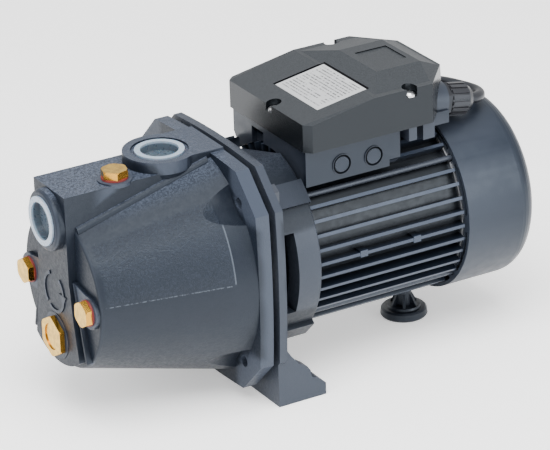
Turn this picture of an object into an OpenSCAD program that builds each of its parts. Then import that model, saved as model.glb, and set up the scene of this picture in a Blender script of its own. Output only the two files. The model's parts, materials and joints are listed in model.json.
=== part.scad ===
// Shallow well jet pump, close coupled to a single phase motor.
// +X runs along the shaft from the pump head to the fan, +Z is up.
// The origin is the centre of the foot's bolt pattern, on the mounting plane.

/* [Shaft and flanges] */
// Height of the shaft above the mounting plane
shaft_z = 92; // [90:1:95]
// Half width of the square flanges near their corner cuts
flange_half = 82; // [82:0.5:83]
// Thickness of the pump flange
pump_flange_t = 10.5; // [9:0.5:12]
// Distance of the casing bolts from the shaft, measured across and up
bolt_offset = 60; // [59:0.5:61]

/* [Pump casing] */
// Radius of the casing at its front end
casing_front_r = 56.5; // [56:0.5:57]
// Radius of the casing at the flange
casing_rear_r = 84; // [83.5:0.25:84]
// Wall thickness of the casting
casing_wall = 6; // [5:0.5:7]
// Width of the spine that carries both ports
spine_w = 45; // [44.5:0.5:46]
// Height of the inlet port above the shaft
inlet_rise = 55; // [54:1:56]
// Height of the outlet face above the shaft
outlet_rise = 86; // [86:0.5:87]

/* [Ports and plugs] */
// Radius of the port thread at its crests, for a 1 inch pipe thread
port_r = 15.145; // [15.1:0.005:15.2]
// Radius of the plain lead-in in front of the port thread
port_lead_r = 16.7; // [16.6:0.05:16.9]
// Size across the flats of the small brass plugs
small_hex = 17; // [16:0.5:18]
// Size across the flats of the large drain plug
large_hex = 27; // [26:0.5:28]

/* [Motor] */
// Radius of the motor housing over its fins
fin_r = 66; // [65:0.5:66]
// Number of fin places around the housing
fin_places = 40; // [40:4:44]
// Radius of the fan cover
cover_r = 69; // [68.5:0.5:69.5]
// Length of the stator core
stack_l = 60; // [50:5:70]

/* [Terminal box] */
// Half width of the terminal box cover
box_half = 55.5; // [54:0.5:57]
// Thickness of the terminal box walls
box_wall = 2.5; // [2:0.25:3]

/* [Mains lead] */
// Diameter of the mains lead
lead_d = 8; // [7.8:0.1:8.2]

/* [Hidden] */
$fn = 64;

paint = [0.18, 0.21, 0.26];
plastic = [0.17, 0.18, 0.20];
brass = [0.80, 0.62, 0.30];
steel = [0.70, 0.71, 0.73];
rubber = [0.06, 0.06, 0.07];

// Stations along the shaft
plate_x = -20;
plate_t = 6;
seal_gap = 5;
flange_back_x = plate_x - seal_gap;
flange_front_x = flange_back_x - pump_flange_t;
casing_front_x = -143;
spine_front_x = -149.2;
side_face_x = -146;
inlet_face_x = -155.5;
outlet_x = -63;
filler_x = -105;
filler_y = -12.5;
ring_front_x = 3.5;
ring_back_x = 22;
housing_back_x = 145;
cover_front_x = 146;
cover_back_x = 206;
fan_x = 164;
stack_x = 50;
foot_back_x = 18;
foot_half = 80;
foot_t = 9;
rear_foot_x = 133;
rear_bearing_x = 134;

// Heights
spine_top_z = shaft_z + 78;
outlet_z = shaft_z + outlet_rise;
inlet_z = shaft_z + inlet_rise;
filler_z = spine_top_z + 1;
side_plug_y = 43;
drain_z = shaft_z - 33;
box_bottom_z = shaft_z + 80;
box_front_z = shaft_z + 100.5;
box_ridge_z = shaft_z + 109.5;
box_top_z = shaft_z + 114.5;

// Sizes of the parts that fit each other
rod_offset = 63 * cos(45);
bolt_hole_r = 4.1;
small_thread_r = 5.75;
large_thread_r = 9.3;
lead_in_depth = 6.7;
cavity_rear_r = 60;
bearing_front = [20, 12.5, 11.5, 8.5];
bearing_rear = [17.5, 11.5, 10.5, 7.5];

// Solids lie along the shaft when their local Z is turned to +X
module along_shaft(x) {
  translate([x, 0, shaft_z]) rotate([0, 90, 0]) children();
}

// Turned part: each point is [radius, position along the shaft]
module turned(points, sides = 96) {
  along_shaft(0) rotate_extrude($fn = sides) polygon(points);
}

// Plate across the shaft: the outline's x and y become Y and Z about the shaft
module across_shaft(x0, x1) {
  translate([x0, 0, shaft_z]) rotate([90, 0, 90]) linear_extrude(x1 - x0) children();
}

module tube(r_out, r_in, h) {
  difference() {
    cylinder(h = h, r = r_out);
    translate([0, 0, -1]) cylinder(h = h + 2, r = r_in);
  }
}

function arc_points(cx, cy, r, a0, a1, steps) =
  [for (i = [0:steps]) let(a = a0 + (a1 - a0) * i / steps) [cx + r * cos(a), cy + r * sin(a)]];

// Square with slightly bowed sides and 45 degree corner cuts
module flange_outline(half = flange_half) {
  side_arc = 720;
  bow = 2.5;
  corner = half * 1.2;
  intersection() {
    rotate(45) square(2 * corner, center = true);
    for_sides(side_arc, half + bow);
  }
}

module for_sides(r, reach) {
  intersection() {
    translate([reach - r, 0]) circle(r = r, $fn = 720);
    translate([r - reach, 0]) circle(r = r, $fn = 720);
    translate([0, reach - r]) circle(r = r, $fn = 720);
    translate([0, r - reach]) circle(r = r, $fn = 720);
  }
}

module bolt_places(offset = bolt_offset) {
  for (sy = [-1, 1]) for (sz = [-1, 1]) translate([sy * offset, sz * offset]) children();
}

// ---- Pump casing ----

// Outer radius of the conical casing at a station on the shaft
function cone_r(x) = casing_front_r
  + (casing_rear_r - casing_front_r) * (x - casing_front_x) / (flange_front_x - casing_front_x);

module casing_body() {
  corner_r = 2.5;
  front = arc_points(casing_front_r - corner_r, casing_front_x + corner_r, corner_r, -90, 0, 5);
  turned(concat([[0, casing_front_x]], front, [[casing_rear_r, flange_front_x],
    [casing_rear_r, flange_front_x + 1], [0, flange_front_x + 1]]));
}

module casing_spine() {
  half = spine_w / 2;
  translate([spine_front_x, -half, shaft_z])
    cube([flange_back_x - spine_front_x, spine_w, spine_top_z - shaft_z]);
  // Rounded beads where the walls of the spine meet the cone
  for (side = [-1, 1]) hull()
    for (x = [casing_front_x + 1.5, flange_front_x - 4])
      across_shaft(x, x + 0.5) translate([side * (half - 1), sqrt(pow(cone_r(x), 2) - half * half) - 1.5])
        circle(r = 4.2, $fn = 32);
}

// Strip down the front face, wider towards its foot, and a thin rib beside it
module front_strip() {
  across_shaft(spine_front_x, casing_front_x + 1) intersection() {
    circle(r = 53);
    polygon([[-22.5, 14], [22.5, 14], [23.5, 10], [26, -12], [32, -42], [32, -60],
      [-32, -60], [-32, -42], [-26, -12], [-23.5, 10]]);
  }
  across_shaft(spine_front_x + 2.2, casing_front_x + 1) for (side = [-1, 1])
    polygon([[side * 24, 15], [side * 26, 15], [side * 39, -40.5], [side * 37, -41]]);
}

module inlet_boss() {
  round_r = 3;
  nose = arc_points(22 - round_r, -inlet_face_x - round_r, round_r, 0, 90, 4);
  translate([0, 0, inlet_z]) rotate([0, -90, 0])
    rotate_extrude($fn = 96)
      polygon(concat([[0, 128], [21, 128], [22, 141]], nose, [[0, -inlet_face_x]]));
}

module outlet_boss() {
  translate([outlet_x, 0, shaft_z + 59]) cylinder(h = outlet_z - shaft_z - 59, r = 21, $fn = 96);
  translate([outlet_x, 0, spine_top_z - 1]) cylinder(h = outlet_z - spine_top_z + 1, r = 26, $fn = 96);
  translate([outlet_x, 0, spine_top_z - 13]) cylinder(h = 12.5, r1 = 22.5, r2 = 26, $fn = 96);
  translate([outlet_x, -22.5, spine_top_z - 3])
    cube([flange_back_x - outlet_x, 45, outlet_z - spine_top_z + 3]);
}

module filler_boss() {
  translate([filler_x, filler_y, spine_top_z - 2]) cylinder(h = filler_z - spine_top_z + 2, r = 12.2);
}

module side_plug_boss(side) {
  across_shaft(side_face_x, casing_front_x + 4) {
    translate([side * side_plug_y, 0]) circle(r = 12);
    polygon([[side * 22, 15], [side * 24, -12], [side * 41, -11.8], [side * 48, 10.5]]);
  }
}

// Wide scallops that leave flat ears for the casing bolts
module bolt_spot_faces() {
  across_shaft(flange_front_x - 40, flange_front_x) bolt_places(75) circle(r = 28.5, $fn = 96);
}

// Raised sense-of-rotation arrow on the front strip
module rotation_arrow() {
  across_shaft(spine_front_x - 0.8, spine_front_x + 1) {
    difference() {
      circle(r = 15.3);
      circle(r = 12.9);
      polygon([[0, 0], [10.3, 28.2], [-17.2, 24.6]]);
      polygon([[0, 0], [21.2, -21.2], [15, -26]]);
    }
    polygon([[-18, 2], [-8, 2], [-13, -6]]);
  }
}

module casing_cavity() {
  wide_r = 70;
  r_front = casing_front_r - casing_wall;
  x_front = casing_front_x + casing_wall;
  slope = (casing_rear_r - casing_front_r) / (flange_front_x - casing_front_x);
  turned([[0, x_front], [r_front - 3, x_front], [cone_r(x_front + 4) - casing_wall, x_front + 4],
    [wide_r, x_front + (wide_r - r_front) / slope], [wide_r, flange_front_x - 12],
    [cavity_rear_r, flange_front_x - 2], [cavity_rear_r, flange_back_x + 1], [0, flange_back_x + 1]]);
  inside = spine_w - 2 * casing_wall;
  translate([spine_front_x + casing_wall, -inside / 2, shaft_z])
    cube([flange_front_x - spine_front_x - 2 * casing_wall, inside, spine_top_z - shaft_z - casing_wall]);
}

// Wall between the suction chamber and the pressure chamber
module casing_partition() {
  inside = spine_w - 2 * casing_wall;
  across_shaft(-112, -107) difference() {
    union() {
      circle(r = 61);
      translate([-inside / 2 - 1, 0]) square([inside + 2, spine_top_z - shaft_z - casing_wall + 1]);
    }
    circle(r = 20);
  }
}

module port_bores() {
  // Inlet: lead-in, then thread
  translate([inlet_face_x - 1, 0, inlet_z]) rotate([0, 90, 0])
    cylinder(h = lead_in_depth + 1, r = port_lead_r);
  translate([inlet_face_x, 0, inlet_z]) rotate([0, 90, 0]) cylinder(h = 28, r = port_r);
  // Outlet: recess for the cap, lead-in, then thread
  translate([outlet_x, 0, outlet_z - 1.5]) cylinder(h = 5, r = 20.3);
  translate([outlet_x, 0, outlet_z - 1.5 - lead_in_depth]) cylinder(h = 20, r = port_lead_r);
  translate([outlet_x, 0, shaft_z + 50]) cylinder(h = 60, r = port_r);
}

module plug_holes() {
  translate([filler_x, filler_y, spine_top_z - 12]) cylinder(h = 30, r = small_thread_r);
  for (side = [-1, 1])
    translate([side_face_x - 5, side * side_plug_y, shaft_z]) rotate([0, 90, 0])
      cylinder(h = 17, r = small_thread_r);
  translate([spine_front_x - 5, 0, drain_z]) rotate([0, 90, 0]) cylinder(h = 20, r = large_thread_r);
}

module pump_casing() color(paint) {
  difference() {
    union() {
      difference() {
        union() {
          casing_body();
          casing_spine();
          front_strip();
          across_shaft(flange_front_x, flange_back_x) flange_outline();
          side_plug_boss(-1);
          side_plug_boss(1);
          filler_boss();
          across_shaft(spine_front_x - 0.4, spine_front_x + 1)
            translate([0, drain_z - shaft_z]) circle(r = 17);
          rotation_arrow();
        }
        casing_cavity();
      }
      casing_partition();
      inlet_boss();
      outlet_boss();
    }
    port_bores();
    plug_holes();
    bolt_spot_faces();
    across_shaft(flange_front_x - 1, flange_back_x + 1) bolt_places() circle(r = bolt_hole_r);
  }
}

// ---- Pump internals ----

module seal_plate() color(steel) difference() {
  turned([[0, -32], [56, -32], [56.5, -31], [56.5, flange_back_x], [71, flange_back_x],
    [71, plate_x], [29, plate_x], [29, -14], [0, -14]]);
  turned([[0, -33], [13, -33], [13, -24], [9, -24], [9, -10], [0, -10]]);
  turned([[20, -15.5], [20, -13], [24, -13], [24, -15.5]]);
}

module casing_o_ring() color(rubber)
  turned([[56.8, -30.5], [59.7, -30.5], [59.7, -27], [56.8, -27]]);

module casing_bolts() color(steel) {
  for (sy = [-1, 1]) for (sz = [-1, 1])
    translate([0, sy * bolt_offset, shaft_z + sz * bolt_offset]) rotate([0, 90, 0]) {
      translate([0, 0, -31.5]) cylinder(h = 31.5 + plate_x + plate_t + 0.2, r = 3.95, $fn = 32);
      translate([0, 0, plate_x + plate_t]) cylinder(h = 1.5, r = 8, $fn = 48);
      translate([0, 0, plate_x + plate_t + 1.5]) cylinder(h = 5.3, r = 13 / 2 / cos(30), $fn = 6);
    }
}

module ejector_nozzle() color(plastic) difference() {
  union() {
    turned([[0, -132.8], [15, -132.8], [15, -129], [10, -127], [9, -120], [5.5, -113], [0, -113]]);
    for (a = [0:120:240])
      across_shaft(-131, -115.3) rotate(a) translate([9, -1.5]) square([8, 3]);
  }
  turned([[0, -130], [6, -130], [5.5, -121], [3.2, -112], [0, -112]]);
  across_shaft(-129.5, -126) for (a = [60:120:300]) rotate(a) translate([4, -2.5]) square([14, 5]);
}

module venturi_tube() color(plastic) difference() {
  turned([[0, -115], [24, -115], [24, -112.2], [19.8, -112.2], [19.8, -106], [14, -104],
    [12, -96], [12, -70], [14.5, -58.5], [0, -58.5]]);
  turned([[0, -116], [13, -116], [7, -104], [7, -92], [11.5, -58], [0, -58]]);
}

module diffuser() color(plastic) {
  difference() {
    turned([[0, -59], [18, -59], [18, -57], [56.2, -57], [56.2, -54], [0, -54]]);
    turned([[0, -60], [14.8, -60], [14.8, -53], [0, -53]]);
  }
  difference() {
    turned([[51.5, -54.5], [56.2, -54.5], [56.2, -32.1], [51.5, -32.1]]);
    for (a = [0:45:315])
      across_shaft(-52, -41) rotate(a) translate([50, -7]) square([10, 14]);
  }
  across_shaft(-52.5, -40.5)
    for (a = [0:45:315]) rotate(a + 22.5) translate([52.2, -4]) rotate(-35) square([6, 2]);
}

module seal_seat() color([0.93, 0.92, 0.88]) difference() {
  turned([[0, -31], [12.9, -31], [12.9, -24.1], [0, -24.1]]);
  turned([[0, -32], [8, -32], [8, -23], [0, -23]]);
}

module seal_head() color(steel) difference() {
  turned([[0, -37.5], [12, -37.5], [12.4, -36], [12.4, -33], [10.5, -33], [10.5, -31.3], [0, -31.3]]);
  turned([[0, -38], [7, -38], [7, -31], [0, -31]]);
}

module seal_spring() color(steel)
  for (i = [0:2])
    along_shaft(-41 + i * 1.35) rotate_extrude($fn = 48) translate([9.5, 0]) circle(r = 0.55, $fn = 16);

module impeller() color([0.75, 0.72, 0.62]) difference() {
  union() {
    turned([[0, -52], [12, -52], [12, -44], [50, -44], [50, -42.5], [0, -42.5]]);
    turned([[14.3, -52.5], [17, -52.5], [17, -50.5], [50, -49.5], [50, -48], [17, -48.8], [14.3, -49]]);
    across_shaft(-49.5, -43.5)
      for (a = [0:60:300]) rotate(a) impeller_vane();
  }
  turned([[0, -60], [6, -60], [6, -40], [0, -40]]);
}

// Backward curved blade, from the eye to the rim
module impeller_vane() {
  r_blade = 34;
  intersection() {
    difference() {
      translate([20, -22]) circle(r = r_blade);
      translate([20, -22]) circle(r = r_blade - 2);
    }
    difference() {
      circle(r = 49.5);
      circle(r = 16);
    }
    polygon([[0, 0], [60, 10], [40, 60], [-5, 60]]);
  }
}

module impeller_nut() color(steel) difference() {
  union() {
    along_shaft(-58) cylinder(h = 5, r = 17 / 2 / cos(30), $fn = 6);
    turned([[0, -53], [9, -53], [9, -52.05], [0, -52.05]]);
  }
  turned([[0, -60], [5, -60], [5, -50], [0, -50]]);
}

// ---- Bracket between pump and motor, with the foot ----

module gusset(y0, y1) {
  translate([0, y1, 0]) rotate([90, 0, 0]) linear_extrude(y1 - y0)
    polygon([[plate_x + 1, 1], [plate_x + 1, 64], [-14, 60], [-14, 47], [-12.6, 42], [-9.5, 37], [-3, 29],
      [-1, 28.4], [3.4, 25.4], [5.8, 22], [6.4, 17.8], [7.6, 15.6], [11, 15], [16, 11],
      [foot_back_x, 8], [foot_back_x, 1]]);
}

module foot_plate() {
  translate([plate_x, -foot_half, 0]) cube([foot_back_x - plate_x, 2 * foot_half, foot_t]);
  // Front wall between the foot and the flange
  translate([plate_x, -foot_half, 0]) cube([plate_t, 2 * foot_half, shaft_z]);
  gusset(-foot_half, -foot_half + 9);
  gusset(foot_half - 9, foot_half);
  gusset(-34, -26);
  gusset(26, 34);
}

module lantern_arms() {
  for (a = [45:90:315])
    across_shaft(plate_x + plate_t - 1, ring_back_x) rotate(a) translate([59, -9]) square([16, 18]);
}

module motor_bracket() color(paint) difference() {
  union() {
    across_shaft(plate_x, plate_x + plate_t) flange_outline();
    foot_plate();
    difference() {
      turned([[58, plate_x + 1], [72.5, plate_x + 1], [72.5, ring_back_x - 1.2],
        [71.3, ring_back_x], [58, ring_back_x]]);
      // Sloping flat on top, under the front of the terminal box
      across_shaft(plate_x + plate_t, ring_back_x + 1)
        polygon([[-20, 68.8], [38, 52.6], [38, 80], [-20, 80]]);
      // Side windows
      translate([plate_x + plate_t, -100, shaft_z - 30]) cube([ring_front_x - plate_x - plate_t, 200, 60]);
      // Drain window underneath
      translate([plate_x + plate_t, -16, 0]) cube([ring_front_x - plate_x - plate_t, 32, 60]);
    }
    lantern_arms();
    // Bearing shield
    turned([[0, 10], [59, 10], [59, 15], [25, 15], [25, 19.5], [0, 19.5]]);
    turned([[0, 4], [25, 4], [25, 11], [0, 11]]);
  }
  // Opening for the seal plate's register, and the bearing seat
  turned([[0, plate_x - 1], [29.2, plate_x - 1], [29.2, plate_x + plate_t + 1], [0, plate_x + plate_t + 1]]);
  turned([[0, 0], [13, 0], [13, 7], [bearing_front[0], 7], [bearing_front[0], 25], [0, 25]]);
  across_shaft(plate_x - 1, plate_x + plate_t) bolt_places() circle(r = 4.5);
  across_shaft(plate_x + plate_t, plate_x + plate_t + 9) bolt_places() circle(r = 9);
  across_shaft(ring_back_x - 12, ring_back_x + 1) bolt_places(rod_offset) circle(r = 2.6);
  foot_slots();
}

// Mounting slots run along Y
module foot_slots() {
  for (side = [-1, 1]) translate([0, side * 52, -1]) linear_extrude(foot_t + 2) {
    translate([0, -4.5]) circle(r = 4.5);
    translate([0, 4.5]) circle(r = 4.5);
    square([9, 9], center = true);
  }
}

// ---- Motor ----

fin_core_r = 58.5;

// Fin places that are left out: tie rod channels and the foot boss
function fin_free(a) = (abs((a % 90) - 45) < 6) || (abs(a - 270) < 8);

module motor_housing() color(paint) difference() {
  union() {
    turned([[56, ring_back_x + 0.05], [fin_core_r, ring_back_x + 0.05],
      [fin_core_r, housing_back_x], [56, housing_back_x]], 160);
    across_shaft(ring_back_x + 2, housing_back_x - 1)
      for (i = [0:fin_places - 1])
        let(a = i * 360 / fin_places)
          if (!fin_free(a)) rotate(a) translate([fin_core_r - 1, -1.2]) square([fin_r - fin_core_r + 1, 2.4]);
    // Two small cast bumps on the side fin
    for (x = [60, 104]) across_shaft(x - 3, x + 3)
      for (a = [0, 180]) rotate(a) translate([fin_core_r - 1, -2.4]) square([fin_r - fin_core_r + 1.3, 4.8]);
    // Boss for the rear foot
    translate([rear_foot_x - 10, -8, shaft_z - 67]) cube([20, 16, 9]);
  }
  // Screw hole of the rear foot
  translate([rear_foot_x, 0, shaft_z - 70]) cylinder(h = 13.2, r = 2.6, $fn = 32);
}

module stator_core() color([0.42, 0.42, 0.44]) difference() {
  turned([[30.3, stack_x], [55.9, stack_x], [55.9, stack_x + stack_l], [30.3, stack_x + stack_l]]);
  across_shaft(stack_x - 1, stack_x + stack_l + 1)
    for (a = [0:15:345]) rotate(a) translate([32, -1.6]) square([13, 3.2]);
}

module stator_windings() color([0.66, 0.34, 0.14]) {
  end_l = 15;
  for (x0 = [stack_x - end_l - 0.2, stack_x + stack_l + 0.2])
    turned([[34, x0 + 3], [38, x0], [46, x0], [51, x0 + 4], [51, x0 + end_l - 3], [46, x0 + end_l],
      [34, x0 + end_l]], 64);
  across_shaft(stack_x - 1, stack_x + stack_l + 1)
    for (a = [0:15:345]) rotate(a) translate([34.2, -1.2]) square([10, 2.4]);
}

module bearing_race_outer(b, x, w) {
  turned([[b[1], x], [b[0] - 0.02, x], [b[0] - 0.02, x + w], [b[1], x + w]]);
}

module bearing_race_inner(b, x, w) {
  difference() {
    turned([[b[3], x], [b[2] - 0.6, x], [b[2] - 0.6, x + w], [b[3], x + w]]);
    turned([[0, x - 1], [b[3], x - 1], [b[3], x + w + 1], [0, x + w + 1]]);
  }
  // Shielded ball row that turns with the inner ring
  turned([[b[2] - 0.8, x + 1], [b[1] - 0.4, x + 1], [b[1] - 0.4, x + w - 1], [b[2] - 0.8, x + w - 1]]);
}

module front_bearing_outer() color(steel) bearing_race_outer(bearing_front, 7.1, 12);
module rear_bearing_outer() color(steel) bearing_race_outer(bearing_rear, rear_bearing_x, 11);
module front_bearing_inner() color(steel) bearing_race_inner(bearing_front, 7.1, 12);
module rear_bearing_inner() color(steel) bearing_race_inner(bearing_rear, rear_bearing_x, 11);

module wave_washer() color(steel)
  turned([[14, 145.2], [17.2, 145.2], [17.2, 145.9], [14, 145.9]]);

module rear_end_shield() color([0.62, 0.63, 0.65]) difference() {
  union() {
    turned([[0, housing_back_x + 0.1], [60.5, housing_back_x + 0.1], [60.5, 153], [57, 153], [57, 149],
      [22, 149], [0, 149]]);
    turned([[0, 132], [22, 132], [22, 146], [0, 146]]);
    // Rod lugs at the corners, cover lugs between them
    across_shaft(149, 153) for (a = [0:45:315]) rotate(a) translate([55, -6.5]) square([11.2, 13]);
  }
  turned([[0, 130], [17.5, 130], [17.5, 146], [9, 146], [9, 150], [0, 150]]);
  across_shaft(housing_back_x - 1, 154) bolt_places(rod_offset) circle(r = 2.3);
  for (a = [0, 180, 270])
    translate([151, 0, shaft_z]) rotate([a, 0, 0]) translate([0, 0, 60]) cylinder(h = 10, r = 1.5, $fn = 24);
}

module tie_rods() color(paint)
  for (sy = [-1, 1]) for (sz = [-1, 1])
    translate([11, sy * rod_offset, shaft_z + sz * rod_offset]) rotate([0, 90, 0])
      cylinder(h = 146.5, r = 2, $fn = 32);

module tie_rod_nuts() color(steel)
  for (a = [45:90:315])
    across_shaft(153.1, 156.3) rotate(a) translate([63, 0]) difference() {
      rotate(30) circle(r = 7 / 2 / cos(30), $fn = 6);
      circle(r = 2.05, $fn = 32);
    }

module fan_cover() color(plastic) difference() {
  shell = 2;
  shoulder = arc_points(cover_r - 14, cover_back_x - 14, 14, 0, 90, 8);
  inner = arc_points(cover_r - 14, cover_back_x - 14, 14 - shell, 90, 0, 8);
  union() {
    turned(concat([[60.8, cover_front_x], [cover_r, cover_front_x]], shoulder, [[0, cover_back_x],
      [0, cover_back_x - shell]], inner, [[cover_r - shell, cover_front_x + shell],
      [60.8, cover_front_x + shell]]), 144);
  }
  // Air outlet slots in the front lip, with a hole for each tie rod between them
  for (a = [0:45:315])
    along_shaft(cover_front_x - 1) rotate([0, 0, a + 5.5]) rotate_extrude(angle = 34, $fn = 96)
      translate([63.2, 0]) square([3.2, shell + 2]);
  across_shaft(cover_front_x - 1, cover_front_x + shell + 1)
    bolt_places(rod_offset) circle(r = 2.7, $fn = 32);
  for (a = [0, 180, 270])
    translate([151, 0, shaft_z]) rotate([a, 0, 0]) translate([0, 0, 60]) cylinder(h = 14, r = 1.7, $fn = 24);
  // Air inlet grille: rings of slots between eight spokes
  for (r = [14:7:49])
    for (a = [0:45:315])
      along_shaft(cover_back_x - shell - 1) rotate([0, 0, a + grille_gap(r)])
        rotate_extrude(angle = 45 - 2 * grille_gap(r), $fn = 96) translate([r, 0]) square([3.6, shell + 2]);
}

// Half the angle that a 4 mm spoke takes up at radius r
function grille_gap(r) = asin(2 / (r + 1.8));

module fan_cover_screws() color(steel)
  for (a = [0, 180, 270])
    translate([151, 0, shaft_z]) rotate([a, 0, 0]) translate([0, 0, cover_r + 0.05]) {
      translate([0, 0, -7.5]) cylinder(h = 8, r = 1.4, $fn = 24);
      cylinder(h = 1.4, r = 3.2, $fn = 32);
      translate([0, 0, 1.4]) cylinder(h = 0.8, r1 = 3.2, r2 = 2.2, $fn = 32);
    }

module rear_foot() color(plastic) translate([rear_foot_x, 0, 0]) difference() {
  top = shaft_z - 67.3;
  union() {
    cylinder(h = top, r = 5.8);
    rotate_extrude($fn = 72)
      polygon([[0, 0], [16.6, 0], [17.4, 1.2], [16.8, 5.4], [15.6, 6.6], [12.6, 6.8], [12, 8.4], [0, 8.6]]);
    for (a = [0:60:300]) rotate(a) rotate([90, 0, 0]) translate([0, 0, -1])
      linear_extrude(2) polygon([[0, 7], [11.4, 7], [5.6, top - 7], [0, top - 7]]);
  }
  translate([0, 0, -1]) cylinder(h = top + 2, r = 2.7, $fn = 32);
  translate([0, 0, -1]) cylinder(h = 6, r = 5.2);
}

module rear_foot_screw() color(steel) translate([rear_foot_x, 0, 0]) {
  translate([0, 0, 2]) cylinder(h = 3, r = 4.6, $fn = 32);
  translate([0, 0, 4.9]) cylinder(h = shaft_z - 66.5, r = 2.45, $fn = 32);
}

// ---- Rotor ----

module motor_shaft() color(steel) {
  turned([[0, -59], [4.95, -59], [4.95, -52], [5.95, -51.5], [5.95, -42.5], [6.95, -42.3], [6.95, -12],
    [8.45, -10], [8.45, 20], [10, 21], [10, 132], [7.45, 133], [7.45, 147], [5.9, 149],
    [5.9, fan_x + 29], [0, fan_x + 29]]);
}

module rotor_core() color([0.55, 0.55, 0.58]) difference() {
  turned([[0, stack_x - 4], [26, stack_x - 4], [26, stack_x], [29.7, stack_x], [29.7, stack_x + stack_l],
    [26, stack_x + stack_l], [26, stack_x + stack_l + 4], [0, stack_x + stack_l + 4]]);
  turned([[0, stack_x - 6], [10.05, stack_x - 6], [10.05, stack_x + stack_l + 6],
    [0, stack_x + stack_l + 6]]);
}

module water_slinger() color(rubber) difference() {
  turned([[0, -9], [11, -9], [11, -6], [17, -5], [17, -3.5], [11, -3.5], [10.5, -1], [0, -1]]);
  turned([[0, -12], [8.5, -12], [8.5, 1], [0, 1]]);
}

module cooling_fan() color(plastic) difference() {
  union() {
    turned([[0, fan_x], [10.5, fan_x], [10.5, fan_x + 24], [0, fan_x + 24]]);
    turned([[0, fan_x], [50, fan_x], [50, fan_x + 2.2], [0, fan_x + 2.2]]);
    across_shaft(fan_x + 2, fan_x + 24)
      for (a = [0:360 / 7:359]) rotate(a) translate([9, -1]) square([41, 2]);
  }
  turned([[0, fan_x - 2], [5.95, fan_x - 2], [5.95, fan_x + 26], [0, fan_x + 26]]);
}

module fan_clip() color(steel) difference() {
  turned([[0, fan_x + 24.3], [9, fan_x + 24.3], [9, fan_x + 25.5], [0, fan_x + 25.5]]);
  turned([[0, fan_x + 23], [5.95, fan_x + 23], [5.95, fan_x + 28], [0, fan_x + 28]]);
  across_shaft(fan_x + 24, fan_x + 27) translate([-2, 0]) square([4, 12]);
}

// ---- Terminal box ----

module box_outline(inset) {
  c = inset * 0.42;
  polygon([[22 + inset, -box_half + 5 + c], [27 + c, -box_half + inset],
    [125 - c, -box_half + inset], [149.5 - inset, -28 + c],
    [149.5 - inset, 28 - c], [125 - c, box_half - inset], [27 + c, box_half - inset],
    [22 + inset, box_half - 5 - c]]);
}

// Outer form of the cover, or its inside when inset is the wall
module cover_form(inset) {
  z0 = box_bottom_z - (inset > 0 ? 1 : 0);
  hull() {
    translate([0, 0, z0]) linear_extrude(box_front_z - z0 - inset) box_outline(inset);
    translate([78, 0, box_ridge_z - inset - 0.5]) linear_extrude(0.5)
      polygon([[0, -box_half + inset], [47, -box_half + inset], [71 - inset, -28], [71 - inset, 28],
        [47, box_half - inset], [0, box_half - inset]]);
  }
  hull() {
    translate([0, 0, box_ridge_z - inset - 2]) linear_extrude(1.4)
      polygon([[79 + inset, -box_half + 2 + inset], [125, -box_half + 2 + inset], [148.5 - inset, -28],
        [148.5 - inset, 28], [125, box_half - 2 - inset], [79 + inset, box_half - 2 - inset]]);
    translate([98 + inset, -25 + inset, box_top_z - inset - 0.5]) cube([36 - 2 * inset, 50 - 2 * inset, 0.5]);
  }
}

// Cover screws: x, y and the height of the seat under the head
function box_screw_places() =
  [[26.2, -4.5, shaft_z + 95], [108, -52, shaft_z + 103], [108, 52, shaft_z + 103]];

// Gland axis: it leaves the rear of the box and dips a little
gland_root = [148, -27, shaft_z + 82.5];
gland_dip = 10;

module along_gland(s) {
  translate(gland_root) rotate([0, 90 + gland_dip, 0]) translate([0, 0, s]) children();
}

// Direction of the gland axis, and a point s along it
function gland_point(s) =
  [gland_root[0] + s * cos(gland_dip), gland_root[1], gland_root[2] - s * sin(gland_dip)];

// Tilt of the sloping front facet that carries the nameplate
facet_tilt = atan((box_ridge_z - box_front_z) / (78 - 22));

module on_facet(lift) {
  translate([22, 0, box_front_z]) rotate([0, -facet_tilt, 0]) translate([0, 0, lift]) children();
}

module terminal_box_cover() color(plastic) difference() {
  union() {
    difference() {
      cover_form(0);
      cover_form(box_wall);
    }
    intersection() {
      cover_form(0);
      for (p = box_screw_places())
        translate([p[0], p[1], box_bottom_z + 1.5]) cylinder(h = 40, r = 8, $fn = 40);
    }
  }
  for (p = box_screw_places()) {
    translate(p) cylinder(h = 20, r = 5.5, $fn = 40);
    translate([p[0], p[1], box_bottom_z]) cylinder(h = 40, r = 2, $fn = 32);
  }
  // Shallow recesses for the nameplate and the flat on the hump
  on_facet(-1) translate([19, -39, 0]) cube([43, 60, 8]);
  translate([104, -14, box_top_z - 0.8]) cube([26, 28, 4]);
  // Notch around the gland boss
  along_gland(-32) cylinder(h = 40, r = 14.4);
  translate([128, gland_root[1] - 14.4, box_bottom_z - 2]) cube([24, 28.8, 4.5]);
}

module nameplate() color([0.80, 0.81, 0.82])
  on_facet(-0.9) translate([19.5, -38.5, 0]) cube([42, 59, 0.6]);

module base_outline() {
  polygon([[-50, 80], [50, 80], [50, 62], [43, 52], [-43, 52], [-50, 58]]);
}

module knockout_ring(x) {
  translate([x, -49.5, shaft_z + 64]) rotate([90, 0, 0]) {
    tube(7.6, 6.4, 1.3);
    cylinder(h = 1, r = 5.9);
  }
}

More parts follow.
